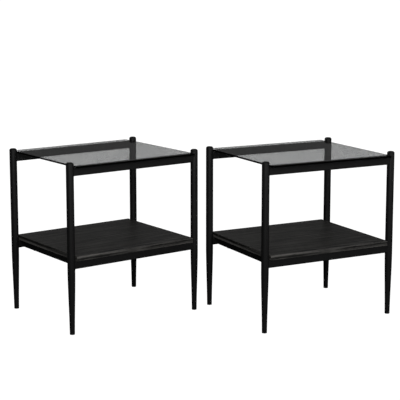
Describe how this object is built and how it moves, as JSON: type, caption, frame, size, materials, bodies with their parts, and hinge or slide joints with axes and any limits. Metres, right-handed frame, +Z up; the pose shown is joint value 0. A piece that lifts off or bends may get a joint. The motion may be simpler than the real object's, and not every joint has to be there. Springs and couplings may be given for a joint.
{
  "type": "end table pair",
  "caption": "Matching end tables, each with a loose smoked glass top, a black veneered lower shelf and round tapered steel legs.",
  "frame": {"origin": "on the floor, at the centre of the pair's bounding box", "axes": "+X along the pair from table a to table b, +Y towards the back, +Z up; table a is turned +4.462 degrees about Z and table b -4.462 degrees"},
  "size_m": [1.099, 0.813, 0.559],
  "materials": {
    "powder_coated_steel": "satin black powder coat",
    "smoked_glass": "grey tempered float glass, polished edges",
    "black_veneer": "black-stained open grain veneer, semi-gloss lacquer",
    "black_plastic": "moulded, satin",
    "clear_pad": "clear soft pad",
    "zinc_steel": "zinc plated"
  },
  "bodies": {
    "table_a": {"a_leg_front_left": "powder_coated_steel", "a_leg_front_right": "powder_coated_steel", "a_leg_back_left": "powder_coated_steel", "a_leg_back_right": "powder_coated_steel", "a_leg_cap_front_left": "black_plastic", "a_leg_cap_front_right": "black_plastic", "a_leg_cap_back_left": "black_plastic", "a_leg_cap_back_right": "black_plastic", "a_glide_front_left": "black_plastic", "a_glide_front_right": "black_plastic", "a_glide_back_left": "black_plastic", "a_glide_back_right": "black_plastic", "a_top_rail_front": "powder_coated_steel", "a_top_rail_back": "powder_coated_steel", "a_lower_rail_front": "powder_coated_steel", "a_lower_rail_back": "powder_coated_steel", "a_cross_rail_left": "powder_coated_steel", "a_cross_rail_right": "powder_coated_steel", "a_shelf": "black_veneer", "a_shelf_screw_front_left": "zinc_steel", "a_shelf_screw_front_right": "zinc_steel", "a_shelf_screw_back_left": "zinc_steel", "a_shelf_screw_back_right": "zinc_steel", "a_glass_pad_front_left": "clear_pad", "a_glass_pad_front_right": "clear_pad", "a_glass_pad_back_left": "clear_pad", "a_glass_pad_back_right": "clear_pad"},
    "glass_a": {"a_glass_top": "smoked_glass"},
    "table_b": {"b_leg_front_left": "powder_coated_steel", "b_leg_front_right": "powder_coated_steel", "b_leg_back_left": "powder_coated_steel", "b_leg_back_right": "powder_coated_steel", "b_leg_cap_front_left": "black_plastic", "b_leg_cap_front_right": "black_plastic", "b_leg_cap_back_left": "black_plastic", "b_leg_cap_back_right": "black_plastic", "b_glide_front_left": "black_plastic", "b_glide_front_right": "black_plastic", "b_glide_back_left": "black_plastic", "b_glide_back_right": "black_plastic", "b_top_rail_front": "powder_coated_steel", "b_top_rail_back": "powder_coated_steel", "b_lower_rail_front": "powder_coated_steel", "b_lower_rail_back": "powder_coated_steel", "b_cross_rail_left": "powder_coated_steel", "b_cross_rail_right": "powder_coated_steel", "b_shelf": "black_veneer", "b_shelf_screw_front_left": "zinc_steel", "b_shelf_screw_front_right": "zinc_steel", "b_shelf_screw_back_left": "zinc_steel", "b_shelf_screw_back_right": "zinc_steel", "b_glass_pad_front_left": "clear_pad", "b_glass_pad_front_right": "clear_pad", "b_glass_pad_back_left": "clear_pad", "b_glass_pad_back_right": "clear_pad"},
    "glass_b": {"b_glass_top": "smoked_glass"}
  },
  "joints": [
    {"name": "glass_a_lift", "type": "slide", "parent": "table_a", "child": "glass_a", "axis": [0, 0, 1], "range_m": [0, 0.05]},
    {"name": "table_b_shift", "type": "slide", "parent": "table_a", "child": "table_b", "axis": [1, 0, 0], "range_m": [0, 0.25]},
    {"name": "glass_b_lift", "type": "slide", "parent": "table_b", "child": "glass_b", "axis": [0, 0, 1], "range_m": [0, 0.05]}
  ]
}
